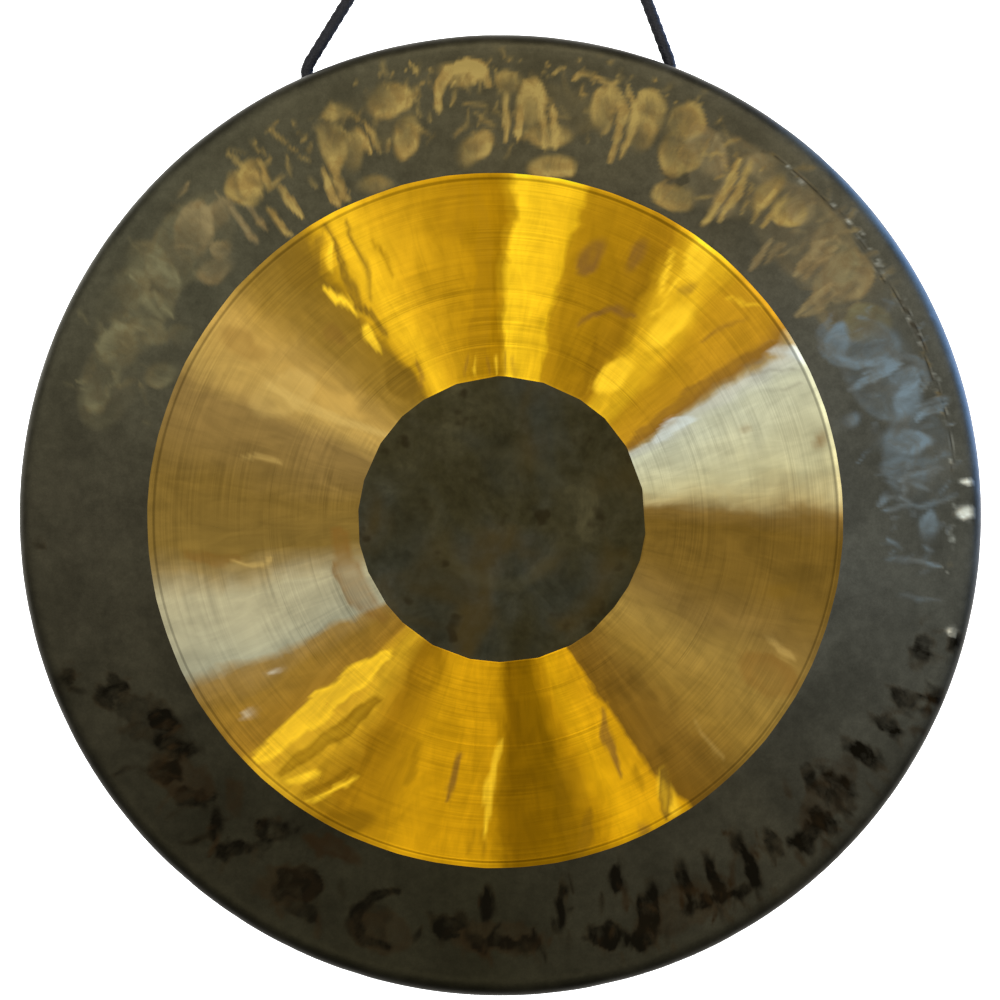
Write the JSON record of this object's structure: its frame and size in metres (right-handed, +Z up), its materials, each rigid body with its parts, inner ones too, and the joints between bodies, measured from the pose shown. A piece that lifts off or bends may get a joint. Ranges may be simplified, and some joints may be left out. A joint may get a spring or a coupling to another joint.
{
  "type": "tam-tam gong",
  "caption": "Hammered bronze tam-tam with a lathed bright ring and turned-back rim, hung on a black braided cord from an S-hook.",
  "frame": {"origin": "the inside of the S-hook's upper bowl, where it bears on what holds the gong up", "axes": "+Z up, the struck face looks along -Y, +X to the right as seen from the front; the hook, the cord and both cord holes lie in the plane Y = 0"},
  "size_m": [0.5601, 0.0829, 0.7974],
  "materials": {
    "hammered_bronze": "hammered and oxidised dark, with a lathed bright gold ring",
    "braided_cord": "black braided nylon",
    "hook_steel": "zinc-plated steel wire, satin"
  },
  "bodies": {
    "hook": {"hanging_hook": "hook_steel"},
    "cord": {"hanging_cord": "braided_cord"},
    "gong": {"gong_plate": "hammered_bronze", "left_stopper_knot": "braided_cord", "right_stopper_knot": "braided_cord"}
  },
  "joints": [
    {"name": "cord_swing", "type": "hinge", "parent": "hook", "child": "cord", "pos_m": [0, 0, -0.041], "axis": [1, 0, 0], "range_deg": [-45, 45]},
    {"name": "gong_rock", "type": "hinge", "parent": "cord", "child": "gong", "pos_m": [-0.01644, 0, -0.2527], "axis": [0.998, 0, 0.0637], "range_deg": [-45, 45], "deforming": ["hanging_cord"]}
  ]
}
